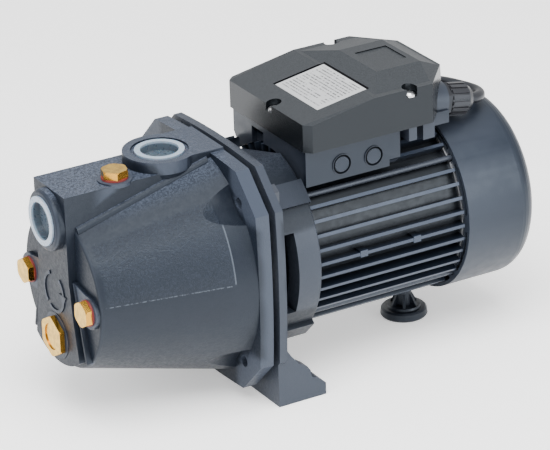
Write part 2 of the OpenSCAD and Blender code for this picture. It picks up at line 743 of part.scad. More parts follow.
module terminal_box_base() color(plastic) difference() {
  union() {
    difference() {
      union() {
        across_shaft(24, 101) base_outline();
        // Near skirt that carries the knockouts
        across_shaft(24, 92) translate([-50, 53]) square([8, 10]);
        across_shaft(100, 147) translate([-42, 70.5]) square([84, 9.5]);
        // Screw posts and corner posts at the rear
        translate([105.5, -54.8, shaft_z + 70]) cube([6.5, 13.5, 10]);
        translate([119, -52, shaft_z + 67]) cube([9.5, 12, 13]);
        translate([105.5, 41.3, shaft_z + 70]) cube([6.5, 13.5, 10]);
        translate([119, 40, shaft_z + 67]) cube([9.5, 12, 13]);
        // Round boss that holds the gland
        along_gland(-17) cylinder(h = 17, r = 13.8);
        translate([130, gland_root[1] - 12, shaft_z + 71]) cube([15, 24, 10]);
      }
      // Inside of the box
      across_shaft(24 + box_wall, 101 - box_wall)
        translate([-50 + box_wall, 69.5]) square([100 - 2 * box_wall, 12]);
      across_shaft(98, 130) translate([-38, 73]) square([76, 12]);
    }
    knockout_ring(53);
    knockout_ring(79);
    translate([28.2, -4.5, shaft_z + 68]) cylinder(h = 12, r = 4.2, $fn = 32);
  }
  // Saddle that sits over the housing, wire window at the front, screw and gland holes
  along_shaft(20) cylinder(h = 140, r = fin_r + 0.3, $fn = 160);
  translate([23, 8, shaft_z + 60]) cube([2 * box_wall, 16, 14.5]);
  for (p = box_screw_places())
    translate([p[0], p[1], shaft_z + 60]) cylinder(h = 40, r = 1.7, $fn = 32);
  along_gland(-30) cylinder(h = 60, r = 7.1);
  along_gland(0) cylinder(h = 12, r = 14);
}

module terminal_box_gasket() color(rubber)
  translate([0, 0, box_bottom_z]) linear_extrude(1.2) difference() {
    intersection() {
      translate([24.8, -49.5]) square([106, 99]);
      box_outline(box_wall + 0.2);
    }
    translate([28, -46.5]) square([100, 93]);
    for (p = box_screw_places()) translate([p[0], p[1]]) circle(r = 9.2);
    translate([118, -45]) square([40, 33]);
  }

module terminal_box_screws() color(steel)
  for (p = box_screw_places()) translate(p) difference() {
    union() {
      translate([0, 0, 0.05]) cylinder(h = 1.6, r = 4, $fn = 32);
      translate([0, 0, 1.65]) cylinder(h = 1.2, r1 = 4, r2 = 2.6, $fn = 32);
      translate([0, 0, box_bottom_z - 7 - p[2]]) cylinder(h = p[2] - box_bottom_z + 8, r = 1.6, $fn = 24);
    }
    translate([0, 0, 2.4]) cube([1, 6, 2], center = true);
    translate([0, 0, 2.4]) cube([6, 1, 2], center = true);
  }

module terminal_block() color([0.82, 0.82, 0.80]) difference() {
  translate([70, -38, shaft_z + 69.6]) cube([18, 44, 14]);
  for (i = [0:3]) translate([79, -32.5 + i * 10.6, shaft_z + 75]) cylinder(h = 20, r = 2.2, $fn = 24);
}

capacitor_y = 26;
capacitor_z = shaft_z + 87;

module run_capacitor() color([0.78, 0.79, 0.80]) translate([40, capacitor_y, capacitor_z]) {
  rotate([0, 90, 0]) cylinder(h = 62, r = 13.2);
  translate([62, 0, 0]) rotate([0, 90, 0]) cylinder(h = 2, r = 9, $fn = 40);
  for (s = [-4, 4]) translate([63.5, s, 0]) cube([6, 0.8, 5], center = true);
}

module capacitor_clamp() color(steel) difference() {
  union() {
    translate([66, capacitor_y, capacitor_z]) rotate([0, 90, 0]) cylinder(h = 9, r = 14.2);
    translate([66, capacitor_y - 12, shaft_z + 69.6]) cube([9, 24, 8]);
  }
  translate([60, capacitor_y, capacitor_z]) rotate([0, 90, 0]) cylinder(h = 20, r = 13.25);
}

module gland_body() color(rubber) difference() {
  union() {
    along_gland(-16) cylinder(h = 17, r = 6.9, $fn = 48);
    along_gland(0.1) cylinder(h = 4.4, r = 22 / 2 / cos(30), $fn = 6);
    along_gland(4) cylinder(h = 9, r = 9.2, $fn = 48);
  }
  along_gland(-18) cylinder(h = 40, r = 5, $fn = 48);
}

module gland_seal() color(rubber) difference() {
  along_gland(13.2) cylinder(h = 7, r = 8.6, $fn = 48);
  along_gland(10) cylinder(h = 14, r = 4.05, $fn = 48);
}

module gland_nut() color(plastic) difference() {
  union() {
    along_gland(5) cylinder(h = 15, r = 11.2, $fn = 64);
    along_gland(20) cylinder(h = 4, r1 = 11.2, r2 = 8.8, $fn = 64);
    along_gland(5.5) for (a = [0:22.5:337.5]) rotate(a) translate([10.6, -1.5, 0]) cube([1.5, 3, 14]);
  }
  along_gland(4) cylinder(h = 17, r = 9.3, $fn = 64);
  along_gland(10) cylinder(h = 20, r = 4.4, $fn = 48);
}

// ---- Caps and plugs ----

// Push-in transport cap: the axis points out of the port
module port_cap() {
  depth = lead_in_depth - 0.5;
  difference() {
    union() {
      cylinder(h = 1.5, r = 17.5);
      translate([0, 0, -depth]) cylinder(h = depth + 0.5, r1 = 15.9, r2 = 16.4);
    }
    translate([0, 0, 1 - depth]) cylinder(h = depth + 2, r = 13.5);
  }
}

module inlet_cap() color([0.86, 0.89, 0.92])
  translate([inlet_face_x, 0, inlet_z]) rotate([0, -90, 0]) port_cap();

module outlet_cap() color([0.86, 0.89, 0.92])
  translate([outlet_x, 0, outlet_z - 1.5]) port_cap();

// Hexagon plug on its washer: the axis points out of the hole
module hex_plug(across, head, shank_r, shank_l, washer_t) {
  hex_r = across / 2 / cos(30);
  intersection() {
    translate([0, 0, washer_t]) cylinder(h = head, r = hex_r, $fn = 6);
    translate([0, 0, washer_t - 1]) cylinder(h = head + 1, r1 = hex_r + 3, r2 = hex_r - 0.8, $fn = 72);
  }
  translate([0, 0, -shank_l]) cylinder(h = shank_l + washer_t + 0.5, r = shank_r, $fn = 48);
}

small_shank_r = small_thread_r - 0.08;
large_shank_r = large_thread_r - 0.08;
small_washer_t = 1.4;
large_washer_t = 0.8;

module small_washer() tube(9.4, small_thread_r + 0.4, small_washer_t - 0.02);

module at_filler() {
  translate([filler_x, filler_y, filler_z]) children();
}

module at_side(side) {
  translate([side_face_x, side * side_plug_y, shaft_z]) rotate([0, -90, 0]) children();
}

module at_drain() {
  translate([spine_front_x - 0.4, 0, drain_z]) rotate([0, -90, 0]) children();
}

module filler_plug() color(brass) at_filler() rotate(15)
  hex_plug(small_hex, 5.4, small_shank_r, 8, small_washer_t);
module filler_washer() color([0.72, 0.22, 0.12]) at_filler() small_washer();
module near_side_plug() color(brass) at_side(-1) hex_plug(small_hex, 4.6, small_shank_r, 8, small_washer_t);
module near_side_washer() color([0.72, 0.22, 0.12]) at_side(-1) small_washer();
module far_side_plug() color(brass) at_side(1) hex_plug(small_hex, 4.6, small_shank_r, 8, small_washer_t);
module far_side_washer() color([0.72, 0.22, 0.12]) at_side(1) small_washer();

module drain_plug() color(brass) at_drain() difference() {
  hex_plug(large_hex, 3.6, large_shank_r, 10, large_washer_t);
  translate([0, 0, 3.5]) cylinder(h = 4, r = 9.5, $fn = 64);
}

module drain_washer() color([0.20, 0.20, 0.20]) at_drain()
  tube(13, large_thread_r + 0.5, large_washer_t - 0.02);

// ---- Mains lead ----

lead_r = lead_d / 2;
coil_centre = [131, 162];
coil_r = 45;

// Route of the lead from the gland to the coil on the floor
lead_route = [
  gland_point(10), gland_point(17), gland_point(24), [177.6, -26.8, 169], [183.4, -24.4, 168.2],
  [187.6, -19.4, 167.6], [189.2, -12.4, 167.2], [188, -5, 167], [185, 3, 167], [181.5, 11, 167],
  [178.3, 20, 166], [176, 30, 163], [174.8, 40, 157.8], [174.4, 50, 150.4], [174.4, 59.4, 140.8],
  [174.6, 67.6, 128.6], [175, 73.4, 114.4], [175.4, 76.6, 99], [175.8, 78, 83.4], [176.4, 78.8, 67.8],
  [177, 79.8, 52.4], [177.8, 82, 37.8], [178.6, 86.4, 24.4], [179.4, 93.6, 13.8], [180, 103.4, 7],
  [180.2, 115, 4.4], [180.2, 127, 4.1], [180, 139, 4.1]
];

function unit(v) = v / norm(v);
function route_heading(p, i) =
  unit(p[min(i + 1, len(p) - 1)] - p[max(i - 1, 0)]);

// Side vectors carried along the route without twist
function carried(p, i) = i == 0
  ? unit(cross(route_heading(p, 0), [0, 1, 0]))
  : let(h = route_heading(p, i), s = carried(p, i - 1)) unit(s - h * (s * h));

module lead_tube(p, r, sides) {
  rings = [for (i = [0:len(p) - 1])
    let(h = route_heading(p, i), a = carried(p, i), b = cross(h, a))
      [for (k = [0:sides - 1]) p[i] + r * (cos(360 * k / sides) * a + sin(360 * k / sides) * b)]];
  pts = [for (ring = rings) for (q = ring) q];
  n = len(p);
  walls = [for (i = [0:n - 2]) for (k = [0:sides - 1])
    [i * sides + k, i * sides + (k + 1) % sides, (i + 1) * sides + (k + 1) % sides, (i + 1) * sides + k]];
  ends = [[for (k = [sides - 1:-1:0]) k], [for (k = [0:sides - 1]) (n - 1) * sides + k]];
  polyhedron(points = pts, faces = concat(walls, ends), convexity = 6);
}

module mains_lead() color(rubber) lead_tube(lead_route, lead_r, 12);

module mains_lead_coil() color(rubber)
  translate([coil_centre[0], coil_centre[1], 0.1]) rotate_extrude($fn = 72)
    translate([coil_r - lead_d - 0.5, 0]) square([2 * lead_d + 1, 2 * lead_d + 1]);

// Moulded plug lying beside the coil, its cord end towards +X
plug_axis_z = 18.5;
module mains_plug() color(rubber)
  translate([114, coil_centre[1] + 50, plug_axis_z]) rotate([0, -90, 0]) {
    cylinder(h = 24, r1 = 4.4, r2 = 7.5, $fn = 48);
    translate([0, 0, 23]) cylinder(h = 8, r1 = 9, r2 = 18, $fn = 64);
    translate([0, 0, 31]) cylinder(h = 14, r = 18.4, $fn = 64);
    for (s = [-9.5, 9.5]) translate([0, s, 44]) cylinder(h = 19, r = 2.4, $fn = 32);
  }

pump_casing();
seal_plate();
casing_o_ring();
casing_bolts();
ejector_nozzle();
venturi_tube();
diffuser();
seal_seat();
motor_bracket();
motor_housing();
stator_core();
stator_windings();
front_bearing_outer();
rear_bearing_outer();
wave_washer();
rear_end_shield();
tie_rods();
tie_rod_nuts();
fan_cover();
fan_cover_screws();
rear_foot();
rear_foot_screw();
terminal_box_base();
terminal_box_gasket();
terminal_box_cover();
terminal_box_screws();
nameplate();
terminal_block();
run_capacitor();
capacitor_clamp();
gland_body();
gland_seal();
gland_nut();
motor_shaft();
impeller();
impeller_nut();
seal_head();
seal_spring();
water_slinger();
front_bearing_inner();
rear_bearing_inner();
rotor_core();
cooling_fan();
fan_clip();
inlet_cap();
outlet_cap();
filler_plug();
filler_washer();
drain_plug();
drain_washer();
near_side_plug();
near_side_washer();
far_side_plug();
far_side_washer();
mains_lead();
mains_lead_coil();
mains_plug();
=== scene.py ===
import json
import math

import bpy
from mathutils import Matrix, Vector


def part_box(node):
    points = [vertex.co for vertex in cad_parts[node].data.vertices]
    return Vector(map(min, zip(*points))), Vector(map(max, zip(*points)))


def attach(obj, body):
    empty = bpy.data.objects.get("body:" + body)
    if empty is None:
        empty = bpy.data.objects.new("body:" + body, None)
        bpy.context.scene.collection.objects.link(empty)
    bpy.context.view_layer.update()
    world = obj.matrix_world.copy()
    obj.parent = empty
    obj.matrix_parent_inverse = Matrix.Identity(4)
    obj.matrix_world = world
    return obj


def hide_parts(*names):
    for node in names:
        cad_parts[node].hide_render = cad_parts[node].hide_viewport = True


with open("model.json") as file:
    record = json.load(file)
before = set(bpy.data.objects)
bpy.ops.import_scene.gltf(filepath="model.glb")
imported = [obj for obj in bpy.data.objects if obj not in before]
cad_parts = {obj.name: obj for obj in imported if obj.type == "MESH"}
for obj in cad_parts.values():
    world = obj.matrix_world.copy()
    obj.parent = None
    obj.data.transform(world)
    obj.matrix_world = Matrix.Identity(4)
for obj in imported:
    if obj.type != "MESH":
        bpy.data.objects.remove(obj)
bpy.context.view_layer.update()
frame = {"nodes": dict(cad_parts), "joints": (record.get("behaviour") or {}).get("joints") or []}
NODES = frame["nodes"]
MM = 0.001
SHAFT = next(j for j in frame["joints"] if j["name"] == "rotor_spin")["pos_m"][2]


# ---------------------------------------------------------------- camera
PICTURE_WIDTH_PX = 550.0
FOCAL_PX = 3623.5
SENSOR_MM = 36.0
CAMERA_TARGET = Vector((-0.0095, -0.0633, 0.1304))
CAMERA_DISTANCE = 2.486
AZIMUTH, ELEVATION, ROLL = map(math.radians, (-29.77, 24.2, -1.84))


def make_camera():
    """The camera solved from the photograph, in the part's frame."""
    back = Vector((math.sin(AZIMUTH) * math.cos(ELEVATION),
                   -math.cos(AZIMUTH) * math.cos(ELEVATION), math.sin(ELEVATION)))
    right = Vector((math.cos(AZIMUTH), math.sin(AZIMUTH), 0.0))
    up = back.cross(right)
    r = math.cos(ROLL) * right + math.sin(ROLL) * up
    u = -math.sin(ROLL) * right + math.cos(ROLL) * up
    data = bpy.data.cameras.new("camera")
    data.sensor_width = SENSOR_MM
    data.lens = FOCAL_PX * SENSOR_MM / PICTURE_WIDTH_PX
    data.clip_start, data.clip_end = 0.1, 20.0
    cam = bpy.data.objects.new("camera", data)
    bpy.context.scene.collection.objects.link(cam)
    turn = Matrix((r, u, back)).transposed().to_4x4()
    cam.matrix_world = Matrix.Translation(CAMERA_TARGET + back * CAMERA_DISTANCE) @ turn
    bpy.context.scene.camera = cam


make_camera()


# ---------------------------------------------------------------- the mains lead
def catmull(points, step):
    """Points on a smooth line through the given ones, about one step apart."""
    pts = [points[0] * 2 - points[1]] + points + [points[-1] * 2 - points[-2]]
    out = [points[0].copy()]
    for a, b, c, d in zip(pts, pts[1:], pts[2:], pts[3:]):
        n = max(2, round((c - b).length / step))
        for i in range(1, n + 1):
            t = i / n
            out.append(0.5 * (2 * b + (c - a) * t + (2 * a - 5 * b + 4 * c - d) * t * t
                              + (3 * b - a - 3 * c + d) * t ** 3))
    return out


LEAD_D = 8.0 * MM
GLAND_ROOT = Vector((148, -27, 174.5)) * MM
GLAND_DIP = math.radians(10)
GLAND_DIR = Vector((math.cos(GLAND_DIP), 0, -math.sin(GLAND_DIP)))
LEAD_ROUTE = [
    (177.6, -26.8, 169), (183.4, -24.4, 168.2), (187.6, -19.4, 167.6), (189.2, -12.4, 167.2),
    (188, -5, 167), (185, 3, 167), (181.5, 11, 167), (178.3, 20, 166), (176, 30, 163),
    (174.8, 40, 157.8), (174.4, 50, 150.4), (174.4, 59.4, 140.8), (174.6, 67.6, 128.6),
    (175, 73.4, 114.4), (175.4, 76.6, 99), (175.8, 78, 83.4), (176.4, 78.8, 67.8),
    (177, 79.8, 52.4), (177.8, 82, 37.8), (178.6, 86.4, 24.4), (179.4, 93.6, 13.8),
    (180, 103.4, 7), (180.2, 115, 4.4), (180.2, 127, 4.2), (180.2, 139, 4.2)]
COIL = Vector((131, 162, 0)) * MM
COIL_TURNS = 3.25
STEPS_PER_TURN = 72
OUTER_RING = 49.2
RING_STEP = 8.4  # one ring beside or above the next, with a little air between
TAIL_TO_PLUG = [(123, 211.8, 14.6), (114, 212, 17.6), (106, 212, 18.5), (98, 212, 18.5)]


def ease(t):
    t = min(1.0, max(0.0, t))
    return t * t * (3 - 2 * t)


def coil_point(turns):
    """Rings beside and on each other: outer low, inner low, inner high, outer high (a quarter)."""
    inward = ease((turns - 0.9) / 0.2)
    lifted = ease((turns - 1.9) / 0.2)
    outward = ease((turns - 2.9) / 0.2)
    r = (OUTER_RING - RING_STEP * inward + RING_STEP * outward) * MM
    z = (4.3 + RING_STEP * lifted) * MM
    a = 2 * math.pi * turns
    return COIL + Vector((r * math.cos(a), r * math.sin(a), z))


def lead_line():
    """Out of the gland, over and down behind the motor, round the coil and into the plug."""
    start = [GLAND_ROOT + GLAND_DIR * s * MM for s in (24, 27)]
    line = catmull(start + [Vector(p) * MM for p in LEAD_ROUTE] + [coil_point(0)], 3.5 * MM)
    steps = int(STEPS_PER_TURN * COIL_TURNS)
    line += [coil_point(i / STEPS_PER_TURN) for i in range(1, steps + 1)]
    tail = [Vector(p) * MM for p in TAIL_TO_PLUG]
    line += catmull([line[-2], line[-1]] + tail, 3 * MM)[2:]
    return line


def make_lead():
    """The whole lead as one curve. Its thickness is in the points' radius, over a bevel depth of 1."""
    line = lead_line()
    data = bpy.data.curves.new("mains_lead_whole", "CURVE")
    data.dimensions = "3D"
    data.bevel_depth = 1.0
    data.bevel_resolution = 6
    data.use_fill_caps = True
    spline = data.splines.new("POLY")
    spline.points.add(len(line) - 1)
    for p, q in zip(spline.points, line):
        p.co = (*q, 1.0)
        p.radius = LEAD_D / 2
    lead = bpy.data.objects.new("mains_lead_whole", data)
    bpy.context.scene.collection.objects.link(lead)
    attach(lead, "pump_unit")
    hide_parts("mains_lead", "mains_lead_coil")


make_lead()


# ---------------------------------------------------------------- material tools
class Paint:
    """A Principled material with colour, roughness and relief from textures in the part's frame."""

    def __init__(self, name, colour, rough, metallic=0.0, **sockets):
        self.mat = bpy.data.materials.new(name)
        self.mat.use_nodes = True
        self.tree = self.mat.node_tree
        self.bsdf = next(n for n in self.tree.nodes if n.type == "BSDF_PRINCIPLED")
        self.coords = self.node("ShaderNodeTexCoord").outputs["Object"]
        self.normal = None
        self.set("Base Color", (*colour, 1.0))
        self.set("Roughness", rough)
        self.set("Metallic", metallic)
        for key, value in sockets.items():
            self.set(key.replace("_", " "), value)

    def node(self, kind, **props):
        n = self.tree.nodes.new(kind)
        for k, v in props.items():
            setattr(n, k, v)
        return n

    def set(self, socket, value):
        self.bsdf.inputs[socket].default_value = value

    def link(self, a, b):
        self.tree.links.new(a, b)

    def put(self, socket, value):
        if hasattr(value, "links"):
            self.link(value, socket)
        else:
            socket.default_value = value

    def noise(self, scale, detail=3.0, rough=0.55, stretch=None):
        n = self.node("ShaderNodeTexNoise")
        n.inputs["Scale"].default_value = scale
        n.inputs["Detail"].default_value = detail
        n.inputs["Roughness"].default_value = rough
        self.link(self.stretched(stretch), n.inputs["Vector"])
        return n.outputs["Fac"]

    def stretched(self, stretch):
        if not stretch:
            return self.coords
        n = self.node("ShaderNodeVectorMath", operation="MULTIPLY")
        self.link(self.coords, n.inputs[0])
        n.inputs[1].default_value = stretch
        return n.outputs[0]

    def math(self, op, a, b=0.0, c=0.0):
        n = self.node("ShaderNodeMath", operation=op)
        for socket, value in zip(n.inputs, (a, b, c)):
            self.put(socket, value)
        return n.outputs[0]

    def product(self, *factors):
        out = factors[0]
        for factor in factors[1:]:
            out = self.math("MULTIPLY", out, factor)
        return out

    def length(self, a, b):
        """The distance from the origin of a point whose two coordinates are given."""
        return self.math("SQRT", self.math("ADD", self.product(a, a), self.product(b, b)))

    def spread(self, value, lo, hi, to_lo=0.0, to_hi=1.0):
        """A smooth step from one value to another as the input goes from lo to hi."""
        n = self.node("ShaderNodeMapRange", interpolation_type="SMOOTHSTEP")
        for i, v in enumerate((value, lo, hi, to_lo, to_hi)):
            self.put(n.inputs[i], v)
        return n.outputs[0]

    def below(self, value, lo, hi):
        """One up to lo, none from hi."""
        return self.spread(value, lo, hi, 1.0, 0.0)

    def window(self, value, rise, fall):
        """One between two smooth steps, none outside them."""
        return self.product(self.spread(value, *rise), self.below(value, *fall))

    def axis(self, name, source=None):
        n = self.node("ShaderNodeSeparateXYZ")
        self.link(source or self.coords, n.inputs[0])
        return n.outputs[name]

    def facing(self, name):
        """How far the surface faces along an axis of the object, from -1 to 1."""
        n = self.node("ShaderNodeTexCoord")
        return self.axis(name, n.outputs["Normal"])

    def mix(self, fac, a, b):
        n = self.node("ShaderNodeMix", data_type="RGBA")
        self.put(n.inputs[0], fac)
        for socket, value in ((n.inputs[6], a), (n.inputs[7], b)):
            self.put(socket, (*value, 1.0) if isinstance(value, tuple) and len(value) == 3 else value)
        return n.outputs[2]

    def colour(self, value):
        self.link(value, self.bsdf.inputs["Base Color"])

    def rough(self, value):
        self.link(value, self.bsdf.inputs["Roughness"])

    def specular(self, mask, plain, masked):
        self.link(self.spread(mask, 0.0, 1.0, plain, masked), self.bsdf.inputs["Specular IOR Level"])

    def bump(self, height, depth, strength):
        n = self.node("ShaderNodeBump")
        self.put(n.inputs["Strength"], strength)
        n.inputs["Distance"].default_value = depth
        self.link(height, n.inputs["Height"])
        if self.normal:
            self.link(self.normal, n.inputs["Normal"])
        self.normal = n.outputs["Normal"]
        self.link(self.normal, self.bsdf.inputs["Normal"])

    def edge(self, lo=0.51, hi=0.58):
        """A mask of the outward edges, where paint wears thin and a highlight is painted."""
        n = self.node("ShaderNodeNewGeometry")
        return self.spread(n.outputs["Pointiness"], lo, hi)


def use(mat, *names):
    """Give the named pieces this material and no other."""
    for name in names:
        obj = NODES[name] if name in NODES else bpy.data.objects[name]
        obj.data.materials.clear()
        obj.data.materials.append(mat)
        if obj.type == "MESH":
            for p in obj.data.polygons:
                p.material_index = 0


# Dark blue-grey paint, and the cool tint of its highlights
BLUE = (0.0050, 0.0074, 0.0128)
SHEEN = (0.78, 0.88, 1.0, 1.0)


def scaled(colour, factor, lift=0.0):
    """A colour made brighter or darker by a factor, then lifted towards grey."""
    return tuple(c * factor + lift for c in colour)


# Where the rough band lies on the casing's cone: along the shaft in metres, around it in radians
BAND_START, BAND_END = (-0.140, -0.136), (-0.052, -0.050)
BAND_LOW, BAND_HIGH = (0.10, 0.16), (0.86, 0.94)
PARTING_ANGLE, PARTING_HALF = 0.118, 0.006
RIB_X, RIB_HALF = -0.0506, 0.0005
RIB_LOW, RIB_HIGH = (0.12, 0.14), (0.62, 0.68)
PALE_LINE = (0.11, 0.13, 0.16)
# Height above which the casing's upward faces get a painted highlight, speckled by the cast grain
SPINE_TOP = (SHAFT + 0.05, SHAFT + 0.06)


def rough_band(p):
    """Masks of the cone's rough band and of the pale parting line and rib that bound it."""
    x = p.axis("X")
    angle = p.math("ARCTAN2", p.math("SUBTRACT", p.axis("Z"), SHAFT), p.math("ABSOLUTE", p.axis("Y")))
    along = p.window(x, BAND_START, BAND_END)
    band = p.product(p.window(angle, BAND_LOW, BAND_HIGH), along)
    parting = p.product(p.math("COMPARE", angle, PARTING_ANGLE, PARTING_HALF), along)
    rib = p.product(p.math("COMPARE", x, RIB_X, RIB_HALF), p.window(angle, RIB_LOW, RIB_HIGH))
    line = p.math("MAXIMUM", rib, p.product(parting, p.spread(p.noise(500), 0.4, 0.6)))
    return band, line


def casting(name, colour, band=False):
    """Dark paint on a sand-cast surface, with painted highlights on its upward faces, edges and band grain;
    duller where it faces up or forward.
    """
    p = Paint(name, colour, 0.42, Coat_Weight=0.05, Coat_Roughness=0.2, Specular_IOR_Level=0.3,
              Specular_Tint=SHEEN)
    top = p.spread(p.facing("Z"), 0.80, 0.97)
    # Painted highlight: upward faces much paler, as lit from above, speckled by the cast grain
    top_highlight_mask = p.product(top, p.spread(p.axis("Z"), *SPINE_TOP) if band else 0.35)
    grain = p.math("ADD", p.noise(1300, 2, 0.5), p.product(p.noise(560, 2, 0.5), 0.8))
    base = p.mix(p.noise(28, 4, 0.6), scaled(colour, 0.8), scaled(colour, 1.25, 0.002))
    grainy_top_highlight = p.mix(p.spread(grain, 0.75, 1.05), scaled(colour, 2.0, 0.004), scaled(colour, 6.0, 0.035))
    base = p.mix(p.product(top_highlight_mask, 0.85), base, grainy_top_highlight)
    # Paler edges: worn paint and painted highlight
    base = p.mix(p.edge(), base, scaled(colour, 3.0, 0.016))
    amount = p.spread(top, 0.0, 1.0, 0.22, 0.75)
    if band:
        cone_part, line = rough_band(p)
        amount = p.math("MAXIMUM", amount, p.product(cone_part, 0.9))
        # Painted glints: bright specks on the grain of the rough band
        painted_glints = p.product(cone_part, p.spread(grain, 0.8, 1.15))
        base = p.mix(painted_glints, base, scaled(colour, 1.7, 0.003))
        base = p.mix(p.product(line, 0.45), base, PALE_LINE)
        p.bump(p.math("ADD", p.product(cone_part, 0.5), line), 0.0004, 0.6)
    p.colour(base)
    p.rough(p.spread(p.noise(420, 3, 0.6), 0.3, 0.7, 0.36, 0.5))
    p.bump(p.noise(45, 2, 0.5), 0.0009, 0.35)
    forward = p.below(p.facing("X"), -0.9, -0.6)
    p.specular(p.math("MAXIMUM", p.spread(p.facing("Z"), 0.45, 0.8), forward), 0.30, 0.15)
    p.bump(grain, 0.00045, amount)
    return p.mat


def moulding(name, colour, rough, grain=1400, depth=0.00005, coat=0.0):
    """Moulded or sprayed surface with cloudy colour, edges paler with wear and painted highlight, and a
    fine grain.
    """
    p = Paint(name, colour, rough, Coat_Weight=coat, Coat_Roughness=0.2, Specular_IOR_Level=0.35,
              Specular_Tint=SHEEN)
    body = p.mix(p.noise(22, 3, 0.5), scaled(colour, 0.9), scaled(colour, 1.1))
    # Paler edges: wear and painted highlight
    p.colour(p.mix(p.edge(0.515, 0.6), body, scaled(colour, 1.5, 0.01)))
    p.rough(p.spread(p.noise(120, 3, 0.5), 0.3, 0.7, rough - 0.05, rough + 0.05))
    p.bump(p.noise(grain, 2, 0.5), depth, 0.6)
    return p


def moulded(*facts):
    return moulding(*facts).mat


CHANNEL_FLOOR, FIN_FLANK = 0.0590, 0.0655
FIN_TIP = (0.06575, 0.0659)


def finned(name, colour):
    """Die-cast paint: paler along the fin tips with worn paint and painted highlight, and painted shade at
    the bottom of the channels.
    """
    p = Paint(name, colour, 0.34, Coat_Weight=0.05, Coat_Roughness=0.2, Specular_IOR_Level=0.35,
              Specular_Tint=SHEEN)
    radius = p.length(p.axis("Y"), p.math("SUBTRACT", p.axis("Z"), SHAFT))
    # Painted shade: darker down towards the channel floor
    depth = p.spread(radius, CHANNEL_FLOOR, FIN_FLANK)
    body = p.mix(depth, scaled(colour, 0.25), scaled(colour, 1.1))
    # Fin tips paler: worn paint and painted highlight
    p.colour(p.mix(p.spread(radius, *FIN_TIP), body, scaled(colour, 3.0, 0.01)))
    p.rough(p.spread(p.noise(200, 3, 0.5), 0.3, 0.7, 0.30, 0.40))
    p.bump(p.noise(350, 3, 0.5), 0.00012, 0.5)
    return p.mat


def box_moulding(name, colour):
    """Black moulding: glossy walls, and a fine-grained top painted paler, a painted highlight from the
    light above.
    """
    p = Paint(name, colour, 0.3, Coat_Weight=0.06, Coat_Roughness=0.12, Specular_IOR_Level=0.27,
              Specular_Tint=SHEEN)
    top = p.spread(p.facing("Z"), 0.55, 0.9)
    speck = p.noise(1500, 2, 0.5)
    # Painted highlight: the top paler, as lit from above, speckled by the grain
    painted_top_light = p.mix(p.spread(speck, 0.4, 0.6), scaled(colour, 1.6, 0.004), scaled(colour, 3.0, 0.010))
    p.colour(p.mix(top, p.mix(p.noise(22, 3), scaled(colour, 0.85), scaled(colour, 1.2)), painted_top_light))
    p.rough(p.spread(top, 0.0, 1.0, 0.27, 0.5))
    p.bump(speck, 0.00008, p.spread(top, 0.0, 1.0, 0.15, 0.8))
    return p.mat


KNOCKOUT_X = (0.053, 0.079)
KNOCKOUT_Z = SHAFT + 0.064
KNOCKOUT_RIM, RIM_HALF = 0.0064, 0.0007
KNOCKOUT_DISC = (0.0053, 0.0057)
GRID_WAVES = 3000


def knockouts(p):
    """Two round knockouts in the near wall, each with a rim of painted shade in its recess and a fine
    square grid.
    """
    x, z = p.axis("X"), p.math("SUBTRACT", p.axis("Z"), KNOCKOUT_Z)
    near = p.below(p.facing("Y"), -0.9, -0.6)
    body = p.bsdf.inputs["Base Color"].links[0].from_socket
    grid = p.product(*(p.math("SINE", p.product(v, GRID_WAVES)) for v in (x, z)))
    dull = 0.0
    for centre in KNOCKOUT_X:
        radius = p.length(p.math("SUBTRACT", x, centre), z)
        rim = p.product(near, p.math("COMPARE", radius, KNOCKOUT_RIM, RIM_HALF))
        disc = p.product(near, p.below(radius, *KNOCKOUT_DISC))
        dots = p.product(disc, p.spread(grid, 0.1, 0.35))
        # Painted shade in the recessed ring around the disc
        body = p.mix(rim, body, (0.001, 0.0013, 0.002))
        body = p.mix(p.product(dots, 0.7), body, (0.085, 0.098, 0.120))
        p.bump(p.product(rim, -1.0), 0.0005, 0.6)
        dull = p.math("MAXIMUM", p.math("MAXIMUM", dull, rim), p.product(disc, 0.6))
    p.colour(body)
    p.specular(dull, 0.35, 0.03)
    return p.mat


def metal(name, colour, rough, scale=500, stretch=(1, 1, 1), depth=0.00001):
    """Bare metal with a cloudy tone and fine marks, which can be drawn out along an axis."""
    p = Paint(name, colour, rough, 1.0)
    n = p.noise(scale, 3, 0.6, stretch=stretch)
    p.colour(p.mix(p.noise(60, 2), scaled(colour, 0.85), colour))
    p.rough(p.spread(n, 0.3, 0.7, rough * 0.85, rough * 1.2))
    p.bump(n, depth, 0.4)
    return p.mat


def turned_brass(name):
    """Machined brass: satin, with fine turning marks, and mottled end faces painted paler where they face
    up or forward, a painted highlight.
    """
    p = Paint(name, (0.83, 0.55, 0.20), 0.24, 1.0)
    # Painted highlight: end faces facing up or forward paler, with a mottle
    face = p.math("MAXIMUM", p.facing("Z"), p.product(p.facing("X"), -1.0))
    painted_face_highlight = p.mix(p.spread(p.noise(260, 3), 0.35, 0.65), (0.46, 0.27, 0.040), (0.62, 0.385, 0.060))
    p.colour(p.mix(p.spread(face, 0.8, 0.98), (0.50, 0.255, 0.040), painted_face_highlight))
    marks = p.noise(2200, 2, 0.5, stretch=(1, 1, 0.2))
    p.rough(p.spread(marks, 0.3, 0.7, 0.17, 0.27))
    p.bump(p.noise(160, 2), 0.00002, 0.4)
    return p.mat


